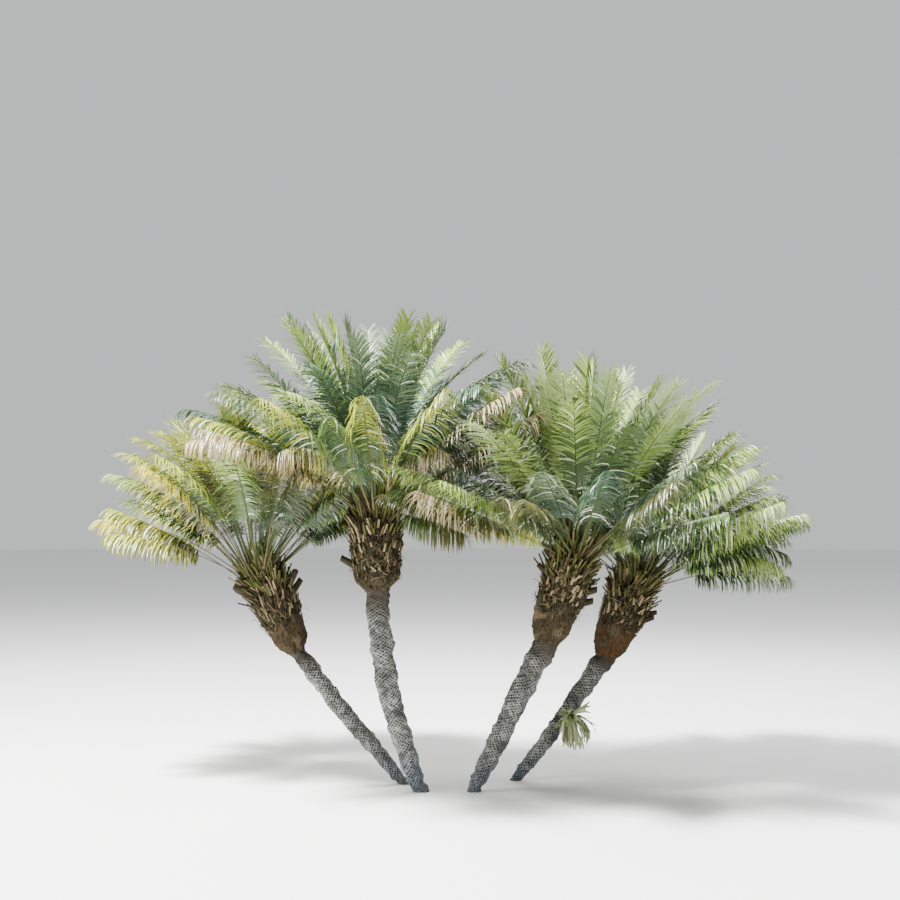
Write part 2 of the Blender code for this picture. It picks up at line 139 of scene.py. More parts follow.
HEADS = (
    HeadLook(
        "outer_left", 0.36, rust=0.15, tan=0.3, scale=1.1, width=0.62,
        stubs=(
            (172, 1.0), (190, 0.86), (205, 0.92), (2, 0.70), (348, 0.78), (90, 0.85), (130, 0.8),
        ),
    ),
    HeadLook(
        "main", 0.10, rust=0.0, tan=0.0, scale=0.6, width=0.75,
        stubs=((186, 0.34), (60, 0.6), (110, 0.7), (20, 0.8)),
    ),
    HeadLook(
        "inner_right", 0.36, rust=0.1, tan=0.9, scale=0.5, width=0.95,
        stubs=((176, 0.96), (192, 0.78), (4, 0.55), (350, 0.70), (80, 0.7), (130, 0.8)),
    ),
    HeadLook(
        "outer_right", 0.42, rust=0.8, tan=0.2, scale=0.5, width=0.85,
        stubs=((4, 0.70), (346, 0.60), (60, 0.7), (110, 0.8), (160, 0.9)),
    ),
)

# Single fronds that fill out the crowns: number, heading, lean, bend, length and age
LAID_FRONDS = {
    "outer_left": (
        (100, 187, 54, 38, 0.92, 0.70), (101, 205, 62, 26, 0.84, 0.80),
        (102, 172, 47, 30, 0.86, 0.60), (118, 12, 50, 16, 0.68, 0.78),
    ),
    "main": (
        (113, 165, 16, 12, 1.00, 0.15), (114, 20, 14, 14, 1.00, 0.15),
        (115, 232, 34, 84, 0.78, 0.90), (116, 305, 30, 88, 0.72, 0.90),
        (117, 345, 94, 12, 0.80, 0.82), (119, 316, 98, 10, 0.58, 0.84),
        (122, 220, 37, 18, 1.02, 0.40), (123, 213, 45, 20, 0.97, 0.50),
    ),
    "inner_right": (
        (103, 222, 10, 8, 1.05, 0.12), (104, 205, 19, 12, 1.05, 0.20),
        (105, 285, 5, 8, 1.00, 0.12), (106, 325, 34, 20, 1.14, 0.30),
        (107, 12, 34, 22, 1.10, 0.40), (108, 190, 66, 16, 1.00, 0.90),
    ),
    "outer_right": (
        (109, 353, 50, 70, 0.85, 0.90), (110, 335, 56, 66, 0.80, 0.88),
        (111, 12, 60, 60, 0.86, 0.85), (112, 250, 36, 80, 0.62, 0.80),
        (120, 0, 58, 26, 0.97, 0.62), (121, 5, 73, 34, 0.84, 0.92),
        (124, 325, 30, 18, 0.92, 0.35), (125, 325, 45, 20, 0.95, 0.45),
        (126, 322, 60, 22, 1.03, 0.60),
    ),
}

# Fronds that are set a little otherwise: degrees of turn, lean and bend to add, share of length
NUDGED = {
    "main 4.73": (0, -11, 0, 0.96), "main 4.00": (0, 0, 0, 0.80),
    "main 2.45": (0, -8, 0, 0.95), "main 6.09": (0, 0, 0, 0.84),
    "main 8.00": (0, 0, 0, 0.82), "main 7.91": (0, 8, 0, 0.80),
    "main 6.55": (0, 0, 0, 0.84), "main 5.64": (-16, 15, 0, 0.97),
    "main 4.27": (0, -6, 0, 1.00), "main 13.82": (0, 0, 6, 0.93),
    "main 17.45": (0, -8, 34, 0.95), "outer_left 19.27": (0, 9, 0, 0.87),
    "outer_left 12.00": (0, 0, 0, 0.95), "outer_left 15.64": (0, 0, 0, 0.90),
    "outer_left 7.45": (0, 0, 0, 0.93), "outer_left 3.82": (0, 0, 0, 0.93),
}

# Tints of single fronds, near the stalk and near the tip, and the numbers of those fronds
TINTED_FRONDS = {
    "outer_left": {
        ("green", "yellow_green"): "15.00",
        ("olive", "yellow_green"): "19.27 101.00",
        ("green", "lime"): "14.73",
        ("olive", "golden"): "17.00",
        ("deep_green", "olive"): "18.36 18.00 118.00",
        ("deep_green", "green"): "16.09 17.45",
        ("yellow_green", "golden"): "100.00",
    },
    "main": {
        ("green", "yellow_green"): "19.00 16.55 15.18 13.82",
        ("blue_green", "green"): "18.82",
        ("tan", "straw"): "16.00 115.00 116.00",
        ("olive", "straw"): "17.45 17.91",
        ("deep_green", "blue_green"): "14.00",
        ("deep_green", "straw"): "14.27",
        ("blue_green", "lime"): "11.00",
        ("blue_green", "grey_green"): "11.55 122.00",
        ("green", "lime"): "123.00",
        ("grey_green", "yellow_green"): "117.00",
        ("green", "olive"): "119.00",
    },
    "inner_right": {
        ("olive", "straw"): "19.27",
        ("deep_green", "blue_green"): "14.73",
        ("green", "lime"): "5.18",
        ("deep_green", "green"): "10.00 18.00",
        ("grey_green", "pale_green"): "2.91",
        ("green", "pale_green"): "2.00",
        ("deep_green", "lime"): "16.09",
    },
    "outer_right": {
        ("green", "yellow_green"): "124.00",
        ("green", "lime"): "112.00 120.00 125.00",
        ("deep_green", "lime"): "126.00",
        ("deep_green", "grey_green"): "121.00",
    },
}
OWN_TINTS = {
    f"{name} {number}": tints
    for name, tinted in TINTED_FRONDS.items()
    for tints, numbers in tinted.items()
    for number in numbers.split()
}

# How far up its length each crown's fronds are bare
BARE_SHARES = {"outer_left": 0.38, "main": 0.28, "inner_right": 0.39, "outer_right": 0.33}

BELOW_GROUND = 0.08
CROWN_RADIUS = 0.100
# How far up a head, and how far it has swollen there from its taper to its full radius
HEAD_SWELLS = ((0.12, 0.15), (0.28, 0.50), (0.44, 0.80), (0.60, 1.0), (0.75, 1.0))
STUB_LENGTH = 0.055

FRONDS = 20  # on each crown of the solids
SPIRAL_STEP = 137.508
SPIRAL_ROWS = 8
SEAT_RADIUS = 0.118
YOUNGEST_SEAT, OLDEST_SEAT = 15.0, 84.0
YOUNGEST_AIM, EXTRA_AIM = 6.0, 60.0
LEAST_BEND, MOST_BEND = 22.0, 54.0
BEND_ONSET = 1.6
AIM_CHANCE, BEND_CHANCE = 4.0, 7.0
YOUNG_LENGTH = 0.86
EXTRA_LENGTH, EXTRA_BEND = 0.96, 0.8  # against the fronds of the solids
RIB_STEPS = 48
BOX_ROOM = 0.06  # from the ribs of the extra fronds to the solids' box
CUT, MOST_CUTS = 0.95, 8  # how an extra frond is shortened until it has that room

# Leaflets: how far they stand out, droop, lift and bend near the stalk or on young fronds, then
# near the tip or on old ones
FIRST_SPLAY, LAST_SPLAY = 72.0, 34.0
YOUNG_DROOP, OLD_DROOP = 0.0, 0.30
YOUNG_LIFT = 0.30
YOUNG_HANG, OLD_HANG = 22.0, 95.0
SPEAR_AGE, SPEAR_OPENED = 0.035, 0.18  # the newest fronds are still half folded
DRY_WIDTH = 0.62  # the leaflets of a dry frond curl to this share of their width
LEAFLET_STOPS = (0.0, 0.12, 0.34, 0.60, 0.83, 1.0)
LEAFLET_OUTLINE = (0.45, 0.9, 1.0, 0.86, 0.5, 0.0)

RIB_ROOM = 0.030
STEM_ROOM = 0.035
CROWDED = 0.17  # nearer to a crown than this, fronds may touch
MOST_SWING, SWING_STEP = 36, 4

TUFT_SHARE = 0.52
TUFT_FACING = (0.5, -1.0, -0.25)
TUFT_CORE = 0.028

DOWN = Vector((0, 0, -1))


def blend(first, second, share):
    """The value that far between two others."""
    return first + (second - first) * share


def smooth(values, low, high):
    """0 below low, 1 above high, and a soft step between."""
    share = np.clip((values - low) / (high - low), 0, 1)
    return share * share * (3 - 2 * share)


def trunk_line(stem, share):
    """The point on a trunk's axis that far from the ground to the neck."""
    straight = Vector(stem.foot).lerp(Vector(stem.neck), share)
    return straight + Vector(stem.bow) * 4 * share * (1 - share)


def trunk_radius(stem, share):
    """A trunk is slimmest at the ground, and has its waist girth from about half-way up."""
    if share < 0.5:
        return blend(stem.foot_radius, stem.waist_radius, sin(pi * max(share, 0)))
    return blend(stem.waist_radius, stem.neck_radius, 2 * share - 1)


def head_profile(stem):
    """(distance up from the neck, radius) down a head's side and over its rounded top."""
    length = (Vector(stem.crown) - Vector(stem.neck)).length
    full = stem.head_radius
    rings = [(-0.02, stem.neck_radius * 0.9), (0.0, stem.neck_radius * 1.12)]
    for share, swell in HEAD_SWELLS:
        rings.append((share * length, blend(stem.taper, 1.0, swell) * full))
    rings.append((0.87 * length, 0.88 * full))
    for polar in (85.0, 50.0, 20.0, 4.0):
        rise = CROWN_RADIUS * cos(radians(polar))
        rings.append((length + rise, CROWN_RADIUS * sin(radians(polar))))
    return rings


def way_from(axis, polar, turn):
    """The direction that many degrees from an axis, and that far round it."""
    angle = radians(polar)
    local = (sin(angle) * cos(turn), sin(angle) * sin(turn), cos(angle))
    return Vector((0, 0, 1)).rotation_difference(axis) @ Vector(local)


# ---------- fronds


class Frond:
    """One frond of a crown: where it stands and how its rib runs.

    Whole numbers below FRONDS are the fronds of the solids. The extra ones stand between them,
    and the single ones are numbered from 100.
    """

    def __init__(self, stem, number, extra=None):
        chance = random.Random(f"frond {stem.name} {number}")
        self.stem = stem
        self.extra = extra is not None
        self.age = (number + 0.5) / FRONDS
        self.turn = radians(stem.turn + number * SPIRAL_STEP)
        if self.extra:
            self.turn = radians(stem.turn + (extra + 0.5) * SPIRAL_STEP)
        self.aim = blend(YOUNGEST_AIM, stem.spread, self.age**0.75)
        self.aim += chance.uniform(-AIM_CHANCE, AIM_CHANCE)
        self.bend = blend(LEAST_BEND, MOST_BEND, sin(pi * self.age))
        self.bend += chance.uniform(-BEND_CHANCE, BEND_CHANCE)
        self.bend *= stem.arching
        self.length = stem.frond_length * blend(YOUNG_LENGTH, 1.0, min(1.0, 4 * self.age))
        self.length *= chance.uniform(0.94, 1.05)
        self.swing = 0.0  # degrees that it has swung aside
        if self.extra:
            self.length *= EXTRA_LENGTH
            self.bend *= EXTRA_BEND
            self.aim = min(self.aim, EXTRA_AIM)
        self.upright = False
        self.seed = f"{stem.name} {number:.2f}"
        turn, aim, bend, share = NUDGED.get(self.seed, (0, 0, 0, 1))
        self.turn += radians(turn)
        self.aim += aim
        self.bend += bend
        self.length *= share

    @classmethod
    def laid(cls, stem, number, heading, lean, bend, length, age):
        """A single frond that stands just so."""
        frond = cls(stem, number, 0)
        frond.turn, frond.aim, frond.bend = radians(heading), lean, bend
        frond.length, frond.age, frond.upright = length, age, True
        return frond

    def seat(self):
        """Where the frond stands, round the top of the head."""
        polar = blend(YOUNGEST_SEAT, OLDEST_SEAT, self.age)
        axis = Vector(self.stem.crown) - Vector(self.stem.neck)
        reach = SEAT_RADIUS - 0.02 * self.extra
        return Vector(self.stem.crown) + way_from(axis, polar, self.turn) * reach

    def rib(self):
        """The rib's points and directions, from foot to tip, and the direction across it. It
        bends down as it goes out."""
        axis = Vector((0, 0, 1)) if self.upright else Vector((*self.stem.tilt, 1))
        first = way_from(axis, self.aim, self.turn + radians(self.swing))
        heading = atan2(first.y, first.x)
        lean = acos(max(-1.0, min(1.0, first.z)))
        step = self.length / RIB_STEPS
        point = self.seat()
        points, ways = [], []
        for number in range(RIB_STEPS + 1):
            angle = lean + radians(self.bend) * (number / RIB_STEPS) ** BEND_ONSET
            across = sin(angle)
            way = Vector((across * cos(heading), across * sin(heading), cos(angle)))
            points.append(point)
            ways.append(way)
            point = point + way * step
        return points, ways, Vector((ways[-1].y, -ways[-1].x, 0)).normalized()


def stem_points():
    """Points down the middle of every trunk and head, each with the stem's radius there."""
    points, radii = [], []
    for stem in STEMS:
        for number in range(25):
            share = number / 24
            points.append(trunk_line(stem, share))
            radii.append(trunk_radius(stem, share))
            points.append(Vector(stem.neck).lerp(Vector(stem.crown), share))
            radii.append(stem.head_radius + STUB_LENGTH)
    return np.array(points), np.array(radii)


def swing_aside(frond, placed, centres, radii, rib_room):
    """Swings a frond a few degrees where its rib would meet another or a stem."""
    steps = range(SWING_STEP, MOST_SWING + 1, SWING_STEP)
    swings = [0] + [side * swing for swing in steps for side in (1, -1)]
    best = None
    for swing in swings:
        frond.swing = swing
        own = np.array(frond.rib()[0])
        from_crown = np.linalg.norm(own - np.array(frond.stem.crown), axis=1)
        far = own[from_crown > CROWDED + SEAT_RADIUS]
        from_stems = np.linalg.norm(far[:, None] - centres[None], axis=2) - radii
        spare = from_stems.min() - STEM_ROOM
        if len(placed):
            from_ribs = np.linalg.norm(far[:, None] - placed[None], axis=2)
            spare = min(spare, from_ribs.min() - rib_room)
        if best is None or spare > best[0]:
            best = (spare, swing, own)
        if spare > 0:
            break
    frond.swing = best[1]
    return np.concatenate([placed, best[2]])


def spread_fronds(extra_count):
    """Every frond: those of the solids, the extra ones in between, then the single ones."""
    centres, radii = stem_points()
    placed = np.empty((0, 3))
    fronds = []
    for number in range(FRONDS):
        for stem in STEMS:
            frond = Frond(stem, number)
            placed = swing_aside(frond, placed, centres, radii, RIB_ROOM)
            fronds.append(frond)
    low, high = (np.array(corner) for corner in CAD_BOX)
    for extra in range(extra_count):
        for stem in STEMS:
            frond = Frond(stem, (extra + 0.5) * FRONDS / extra_count - 0.5, extra)
            placed = swing_aside(frond, placed, centres, radii, RIB_ROOM / 3)
            for _ in range(MOST_CUTS):
                rib = np.array(frond.rib()[0])
                if (rib > low + BOX_ROOM).all() and (rib < high - BOX_ROOM).all():
                    break
                frond.length *= CUT
            fronds.append(frond)
    return fronds + [Frond.laid(stem, *laid) for stem in STEMS for laid in LAID_FRONDS[stem.name]]


# ---------- building meshes


def linked(name, data):
    """A new object in the scene."""
    made = bpy.data.objects.new(name, data)
    bpy.context.scene.collection.objects.link(made)
    return made


class Heap:
    """Many copies of small shapes, joined into one mesh. Every face has its own material."""

    def __init__(self):
        self.points, self.corners, self.sizes, self.materials = [], [], [], []
        self.count = 0

    def add(self, points, faces, materials):
        """Adds copies of one shape. points has one row of points for each copy, faces are the
        shape's, and materials has a number for each copy, or for each face of each copy."""
        copies, verts = points.shape[:2]
        sizes = np.array([len(face) for face in faces])
        corners = np.concatenate([np.array(face) for face in faces])
        starts = self.count + np.arange(copies)[:, None] * verts
        self.points.append(points.reshape(-1, 3))
        self.corners.append((starts + corners[None]).ravel())
        self.sizes.append(np.tile(sizes, copies))
        chosen = np.asarray(materials)
        if chosen.ndim == 1:
            chosen = np.repeat(chosen[:, None], len(faces), axis=1)
        self.materials.append(chosen.ravel())
        self.count += copies * verts

    def made(self, name):
        """The object."""
        points = np.concatenate(self.points).astype(np.float32)
        corners, sizes, materials = (
            np.concatenate(part).astype(np.int32)
            for part in (self.corners, self.sizes, self.materials)
        )
        starts = (np.cumsum(sizes) - sizes).astype(np.int32)
        mesh = bpy.data.meshes.new(name)
        mesh.vertices.add(len(points))
        mesh.loops.add(len(corners))
        mesh.polygons.add(len(sizes))
        mesh.vertices.foreach_set("co", points.ravel())
        mesh.loops.foreach_set("vertex_index", corners)
        mesh.polygons.foreach_set("loop_start", starts)
        mesh.polygons.foreach_set("material_index", materials)
        mesh.update(calc_edges=True)
        mesh.validate()
        mesh.shade_smooth()
        return linked(name, mesh)


def shape_arrays(mesh):
    """A bmesh's points and faces as arrays, and frees it."""
    mesh.verts.index_update()
    points = np.array([vert.co for vert in mesh.verts])
    faces = [[vert.index for vert in face.verts] for face in mesh.faces]
    mesh.free()
    return points, faces


def edges_along(mesh, axis):
    """The edges of a shape, 1 long, that run its whole length along x (0) or z (2)."""
    return [e for e in mesh.edges if abs(e.verts[0].co[axis] - e.verts[1].co[axis]) > 0.5]


def placed_copies(points, matrices):
    """One row of a shape's points for each matrix."""
    stack = np.array([np.array(matrix) for matrix in matrices])
    return np.einsum("cij,vj->cvi", stack[:, :3, :3], points) + stack[:, None, :3, 3]


def facing(middle, way, side, sizes):
    """The matrix that puts a shape at a point, with its z axis along way and its x along side."""
    z_axis = way.normalized()
    x_axis = (side - z_axis * side.dot(z_axis)).normalized()
    turned = Matrix((x_axis, z_axis.cross(x_axis), z_axis)).transposed().to_4x4()
    return Matrix.Translation(middle) @ turned @ Matrix.Diagonal((*sizes, 1))


def wrapped_tube(rows, sides, place):
    """A grid, wrapped into a tube with its seam welded and its ends filled. place gives the
    points, and a number from 0 to 1 for each of its named masks, from how far round and along."""
    mesh = bmesh.new()
    bmesh.ops.create_grid(mesh, x_segments=sides, y_segments=rows, size=0.5)
    flat = np.array([vert.co for vert in mesh.verts])
    points, masks = place(flat[:, 0] + 0.5, flat[:, 1] + 0.5)
    layers = {mask: mesh.verts.layers.float.new(mask) for mask in masks}
    for number, vert in enumerate(mesh.verts):
        vert.co = points[number]
        for mask, layer in layers.items():
            vert[layer] = masks[mask][number]
    bmesh.ops.remove_doubles(mesh, verts=mesh.verts, dist=1e-6)
    rims = [edge for edge in mesh.edges if edge.is_boundary]
    bmesh.ops.holes_fill(mesh, edges=rims)
    return mesh


def finished(mesh, name):
    """Turns a bmesh into a smooth object with its faces pointing out."""
    bmesh.ops.recalc_face_normals(mesh, faces=mesh.faces)
    data = bpy.data.meshes.new(name)
    mesh.to_mesh(data)
    mesh.free()
    data.shade_smooth()
    return linked(name, data)


def dress(piece, materials, nodes):
    """Gives a piece its materials and its place in the frame."""
    for material in materials:
        piece.data.materials.append(material)
    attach(piece, "root")
    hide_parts(*nodes)


def frames_along(centres):
    """The directions across and up at each of a row of points."""
    ways = np.gradient(centres, axis=0)
    ways /= np.linalg.norm(ways, axis=1)[:, None]
    across = np.array([1.0, 0, 0]) - ways * ways[:, :1]
    across /= np.linalg.norm(across, axis=1)[:, None]
    return across, np.cross(ways, across)


def rough(points, *layers):
    """Noise at each point: the sum of layers, each with its scale and its height."""
    return sum(
        np.array([noise.noise(Vector(point) * scale) for point in points]) * height
        for scale, height in layers
    )


# ---------- shading


class Value:
    """A socket in an expression. Each operator adds a Math node."""

    def __init__(self, shader, socket):
        self.shader, self.socket = shader, socket

    def math(self, operation, *others):
        inputs = dict(enumerate(others))
        return self.shader.node("ShaderNodeMath", {"operation": operation}, inputs)

    def __add__(self, other):
        return self.math("ADD", self, other)

    def __sub__(self, other):
        return self.math("SUBTRACT", self, other)

    def __rsub__(self, other):
        return self.math("SUBTRACT", other, self)

    def __mul__(self, other):
        return self.math("MULTIPLY", self, other)

    def step(self, low, high):
        """0 below low, 1 above high, and a soft step between."""
        settings = {"interpolation_type": "SMOOTHSTEP"}
        inputs = {"Value": self, "From Min": low, "From Max": high}
        return self.shader.node("ShaderNodeMapRange", settings, inputs)


# Specular level of what is too rough to mirror the sky
DULL = 0.12


class Shader:
    """One material, built node by node."""

    def __init__(self, name):
        self.material = bpy.data.materials.new(name)
        self.material.use_nodes = True
        self.tree = self.material.node_tree
        self.tree.nodes.clear()

    def node(self, kind, settings=None, inputs=None, output=0):
        """Adds a node: its settings first, then the values or links of its sockets."""
        made = self.tree.nodes.new(kind)
        for name, value in (settings or {}).items():
            setattr(made, name, value)
        for name, value in (inputs or {}).items():
            if isinstance(value, Value):
                self.tree.links.new(value.socket, made.inputs[name])
            elif isinstance(value, (tuple, list)) or hasattr(value, "hsv"):
                size = len(made.inputs[name].default_value)
                made.inputs[name].default_value = (*value, 1.0)[:size]
            else:
                made.inputs[name].default_value = value
        return Value(self, made.outputs[output])

    def mix(self, first, second, share):
        """A colour between two others."""
        settings = {"data_type": "RGBA", "clamp_factor": True}
        return self.node("ShaderNodeMix", settings, {0: share, 6: first, 7: second}, 2)

    def mask(self, name):
        """A number that the mesh holds at each point."""
        return self.node("ShaderNodeAttribute", {"attribute_name": name}, output="Fac")

    def noise(self, scale, detail=3.0, roughness=0.55, stretch=(1, 1, 1)):
        """Noise from 0 to 1, with its features stretched."""
        place = self.node("ShaderNodeTexCoord", output="Object")
        where = self.node("ShaderNodeMapping", {}, {"Vector": place, "Scale": stretch})
        inputs = {"Vector": where, "Scale": scale, "Detail": detail, "Roughness": roughness}
        return self.node("ShaderNodeTexNoise", {}, inputs)

    def bump(self, height, strength, distance):
        inputs = {"Strength": strength, "Distance": distance, "Height": height}
        return self.node("ShaderNodeBump", {}, inputs)

    def surface(self, **sockets):
        """Ends the material in a Principled shader and returns it."""
        named = {name.replace("_", " "): value for name, value in sockets.items()}
        shader = self.node("ShaderNodeBsdfPrincipled", {}, named)
        end = self.tree.nodes.new("ShaderNodeOutputMaterial")
        self.tree.links.new(shader.socket, end.inputs["Surface"])
        return self.material


def bark_material(colours):
    """Grey bark: pale ridges round scars darkened with painted shade in their hollows, bluer
    towards the foot, and darkened at the neck with a painted shadow of the head.
    """
    shader = Shader("bark")
    ridge, height = shader.mask("ridge"), shader.mask("height")
    grain, patches = shader.noise(260.0, 4.0), shader.noise(11.0, 4.0, 0.65)
    # painted shade: between the ridges the scars take a near-black colour that stands for the shade
    # in their hollows
    lit = (ridge * 1.05 - 0.12 + (grain - 0.5) * 0.7).step(0.0, 1.0)
    weather = patches.step(0.36, 0.66)
    ridges = shader.mix(colours.bark_dull, colours.bark_ridge, weather)
    colour = shader.mix(colours.bark_scar, ridges, lit)
    foot = height.step(0.28, 0.0) * 0.8
    blue = shader.mix(colours.bark_scar, colours.bark_foot, lit)
    colour = shader.mix(colour, blue, foot)
    # painted shadow: the trunk's top just under the head is darkened towards the neck colour, for
    # the shade that the head and crown cast there
    neck = (height + (patches - 0.5) * 0.16).step(0.84, 0.95) * 0.93
    colour = shader.mix(colour, colours.bark_neck, neck)
    normal = shader.bump(grain, 0.6, 0.003)
    return shader.surface(
        Base_Color=colour, Roughness=0.95 - ridge * 0.15, Normal=normal, Specular_IOR_Level=DULL
    )


def fibre_material(look, colours):
    """The matted fibre of a head: dark above, a smoother brown collar below, rusty in places."""
    shader = Shader(f"fibre_{look.name}")
    collar = shader.mask("collar")
    strands = shader.noise(70.0, 5.0, 0.75, (1, 1, 0.3))
    flecks, patches = shader.noise(190.0, 3.0, 0.7), shader.noise(9.0, 3.0)
    above = shader.mix(colours.fibre_dark, colours.fibre, strands.step(0.38, 0.68))
    matting = strands * 0.55 + flecks * 0.45
    below = shader.mix(colours.fibre_dark, colours.collar, matting.step(0.40, 0.58))
    tanned = matting.step(0.38, 0.56) * patches.step(0.46, 0.62) * look.tan
    below = shader.mix(below, colours.collar_tan, tanned)
    rusty = shader.mix(colours.rust_dark, colours.rust, flecks.step(0.40, 0.62))
    rusted = patches.step(0.56, 0.44) * matting.step(0.38, 0.50) * look.rust
    below = shader.mix(below, rusty, rusted)
    colour = shader.mix(above, below, collar)
    normal = shader.bump(strands + flecks * 0.5, 1.0, 0.010)
    return shader.surface(Base_Color=colour, Roughness=0.95, Normal=normal, Specular_IOR_Level=DULL)


def plain_material(name, colour, roughness, **more):
    """One even colour, for what is dealt out by the leaf or the frond."""
    return Shader(name).surface(Base_Color=colour, Roughness=roughness, **more)


def tint_materials(tints, colours, roughness, prefix="", **more):
    """A plain material for each of a table's tints."""
    return [
        plain_material(prefix + name, getattr(colours, name), roughness, **more) for name in tints
    ]


# Colours of the bark and of the heads' fibre; the darkest bark colours are painted shade in the
# scars' hollows and a painted shadow of the head at the neck
BARK_AND_FIBRE = {
    "bark_ridge": (0.33, 0.33, 0.31), "bark_dull": (0.105, 0.105, 0.095),
    "bark_scar": (0.018, 0.018, 0.016), "bark_foot": (0.19, 0.22, 0.26),
    "bark_neck": (0.034, 0.029, 0.020), "fibre": (0.058, 0.047, 0.023),
    "fibre_dark": (0.012, 0.010, 0.006), "collar": (0.064, 0.048, 0.026),
    "collar_tan": (0.190, 0.142, 0.078), "rust": (0.130, 0.060, 0.020),
    "rust_dark": (0.042, 0.022, 0.010),
}
# Colours that are dealt out by the piece: leaf bases, stalks, leaflets, straps
BASE_TINTS = {
    "base_dark": (0.028, 0.022, 0.011), "base_brown": (0.082, 0.062, 0.029),
    "base_straw": (0.215, 0.166, 0.086), "base_olive": (0.060, 0.064, 0.015),
}
STALK_TINTS = {
    "stalk_green": (0.034, 0.052, 0.010), "stalk_olive": (0.042, 0.046, 0.010),
    "stalk_straw": (0.070, 0.060, 0.020),
}
# The palest, near-white leaf tint is not a colour of the leaves but a painted glint of light, dealt
# to single leaflets
LEAF_TINTS = {
    "blue_green": (0.042, 0.085, 0.046), "grey_green": (0.135, 0.185, 0.098),
    "lime": (0.23, 0.32, 0.065), "green": (0.055, 0.098, 0.018),
    "deep_green": (0.020, 0.043, 0.010), "silver": (0.58, 0.62, 0.46),
    "olive": (0.066, 0.066, 0.016), "golden": (0.52, 0.44, 0.020),
    "yellow_green": (0.28, 0.31, 0.028), "straw": (0.36, 0.28, 0.15), "tan": (0.20, 0.15, 0.07),
    "pale_green": (0.32, 0.42, 0.165),
}
STRAP_TINTS = {
    "strap_pale": (0.42, 0.46, 0.25), "strap_green": (0.20, 0.25, 0.10),
    "strap_brown": (0.12, 0.10, 0.05),
}

# For the young, middle and old fronds of each crown: a tint near the stalk, a tint near the tip
# and how often the two come
PALETTES = {
    "outer_left": (
        (("green", "lime", 3), ("lime", "yellow_green", 4), ("green", "yellow_green", 2)),
        (("green", "lime", 3), ("olive", "yellow_green", 4), ("green", "golden", 2)),
        (("deep_green", "yellow_green", 3), ("olive", "golden", 2), ("deep_green", "olive", 3)),
    ),
    "main": (
        (("blue_green", "grey_green", 5), ("blue_green", "lime", 2), ("green", "lime", 1)),
        (("blue_green", "grey_green", 3), ("deep_green", "blue_green", 4), ("green", "lime", 1)),
        (
            ("deep_green", "blue_green", 4), ("blue_green", "grey_green", 2),
            ("olive", "yellow_green", 2),
        ),
    ),
    "inner_right": (
        (("grey_green", "pale_green", 4), ("lime", "pale_green", 4), ("green", "lime", 1)),
        (("deep_green", "green", 2), ("blue_green", "grey_green", 2), ("green", "lime", 3)),
        (("deep_green", "blue_green", 4), ("deep_green", "green", 3), ("deep_green", "olive", 2)),
    ),
    "outer_right": (
        (("grey_green", "pale_green", 4), ("lime", "yellow_green", 2)),
        (("deep_green", "green", 3), ("deep_green", "lime", 3), ("green", "yellow_green", 1)),
        (("deep_green", "green", 3), ("green", "grey_green", 2), ("deep_green", "lime", 2)),
    ),
}
# How often a leaflet of an old frond takes a pale tint that is a painted glint of light
PAINTED_GLINTS = {"outer_left": 0.02, "main": 0.03, "inner_right": 0.05, "outer_right": 0.08}


def leaflet_tints(frond, pairs, faces_out):
    """A tint for every face of every leaflet of a frond. faces_out is true for a face that lies
    near its leaflet's point."""
    chance = random.Random(f"tints {frond.seed}")
    pool = PALETTES[frond.stem.name][min(2, int(frond.age * 2.6))]
    near, far, _ = chance.choices(pool, [weight for _, _, weight in pool])[0]
    near, far = OWN_TINTS.get(frond.seed, (near, far))
    dry, numbers = near == "tan", {name: number for number, name in enumerate(LEAF_TINTS)}
    near, far, silver = numbers[near], numbers[far], numbers["silver"]
    rows = np.empty((pairs * 2, len(faces_out)), int)
    for number in range(pairs * 2):
        turned = chance.random() < smooth(number / 2 / pairs, 0.15, 0.95)
        worn = far if turned else near
        if dry and chance.random() < 0.34:
            worn = numbers[chance.choice(("olive", "golden", "deep_green"))]
        # painted glint: the whole leaflet takes the pale near-white tint that stands for a
        # highlight on it
        if chance.random() < PAINTED_GLINTS[frond.stem.name] * (0.4 + frond.age):
            worn = silver
        rows[number] = worn
        if chance.random() < 0.4:
            rows[number, faces_out] = far
    return rows


# ---------- trunks


